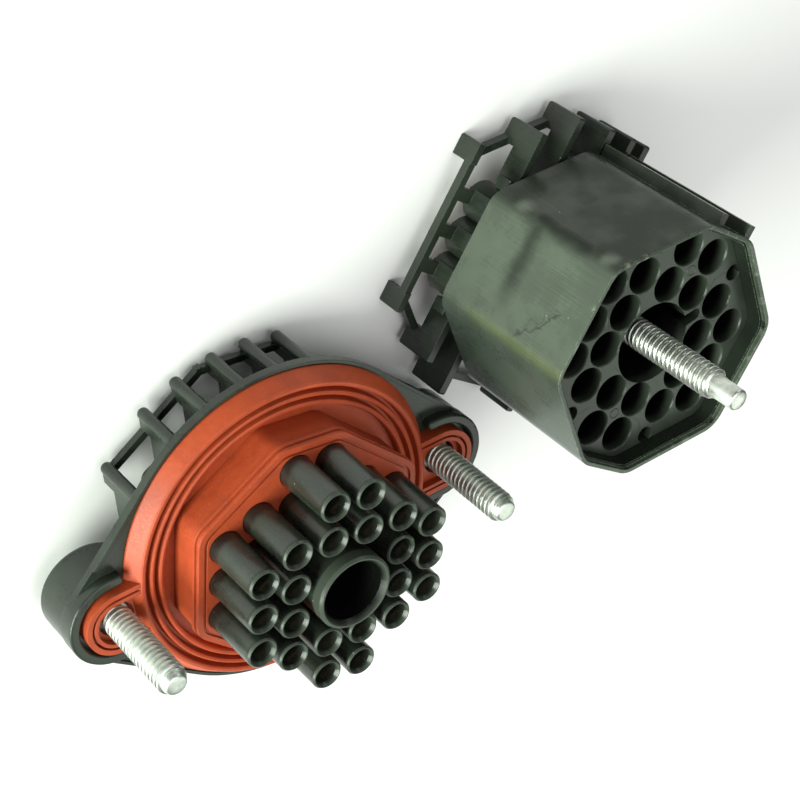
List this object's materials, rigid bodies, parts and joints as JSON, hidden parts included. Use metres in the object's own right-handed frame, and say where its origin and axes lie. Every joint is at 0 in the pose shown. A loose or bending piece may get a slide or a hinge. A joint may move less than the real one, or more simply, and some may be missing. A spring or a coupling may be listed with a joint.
{
  "type": "bulkhead cable connector",
  "caption": "Bolt-together multi-way bulkhead connector, unmated: flanged receptacle with orange seal and contact towers, and an octagonal plug with a central jackscrew.",
  "frame": {"origin": "on the axis of the receptacle's centre tube, in the plane of the flange's panel side", "axes": "+Z is the mating direction, out of the centre tube; +X runs from the left flange stud to the right one; the plug stands beside the receptacle on the +X side"},
  "size_m": [0.1536, 0.0955, 0.0692],
  "materials": {
    "housing": "moulded, satin",
    "towers": "moulded, satin",
    "grid": "moulded",
    "silicone": "soft, satin",
    "cable_silicone": "soft, satin",
    "zinc": "zinc plated thread",
    "clip_steel": "spring steel",
    "insert_brass": "turned",
    "contact_copper": "plated copper alloy",
    "plug_plastic": "moulded, faintly brushed",
    "block_plastic": "moulded",
    "cage_plastic": "moulded",
    "jack_steel": "bright thread"
  },
  "bodies": {
    "receptacle": {"flange_housing": "housing", "tower_block": "towers", "flange_seal": "silicone", "receptacle_seal_grid": "grid", "jack_nut": "insert_brass", "jack_nut_ring": "clip_steel", "receptacle_contacts": "contact_copper", "receptacle_cable_seals": "cable_silicone"},
    "stud_left": {"flange_stud_left": "zinc", "stud_clip_left": "clip_steel"},
    "stud_right": {"flange_stud_right": "zinc", "stud_clip_right": "clip_steel"},
    "plug_half": {"plug_shell": "plug_plastic", "plug_socket_block": "block_plastic", "plug_rear_cage": "cage_plastic", "plug_retainer": "cage_plastic", "plug_contacts": "contact_copper", "plug_cable_seals": "cable_silicone", "jackscrew_washer": "clip_steel"},
    "jack": {"jackscrew": "jack_steel", "jackscrew_clip": "clip_steel"}
  },
  "joints": [
    {"name": "plug_lift", "type": "slide", "parent": "receptacle", "child": "plug_half", "axis": [0, 0, 1], "range_m": [0, 0.1]},
    {"name": "jackscrew_turn", "type": "hinge", "parent": "plug_half", "child": "jack", "pos_m": [0.0712, 0.027, 0], "axis": [0, 0, 1], "continuous": true},
    {"name": "stud_left_turn", "type": "hinge", "parent": "receptacle", "child": "stud_left", "pos_m": [-0.0383, -0.0023, 0], "axis": [0, 0, 1], "continuous": true},
    {"name": "stud_right_turn", "type": "hinge", "parent": "receptacle", "child": "stud_right", "pos_m": [0.0383, -0.0023, 0], "axis": [0, 0, 1], "continuous": true}
  ]
}
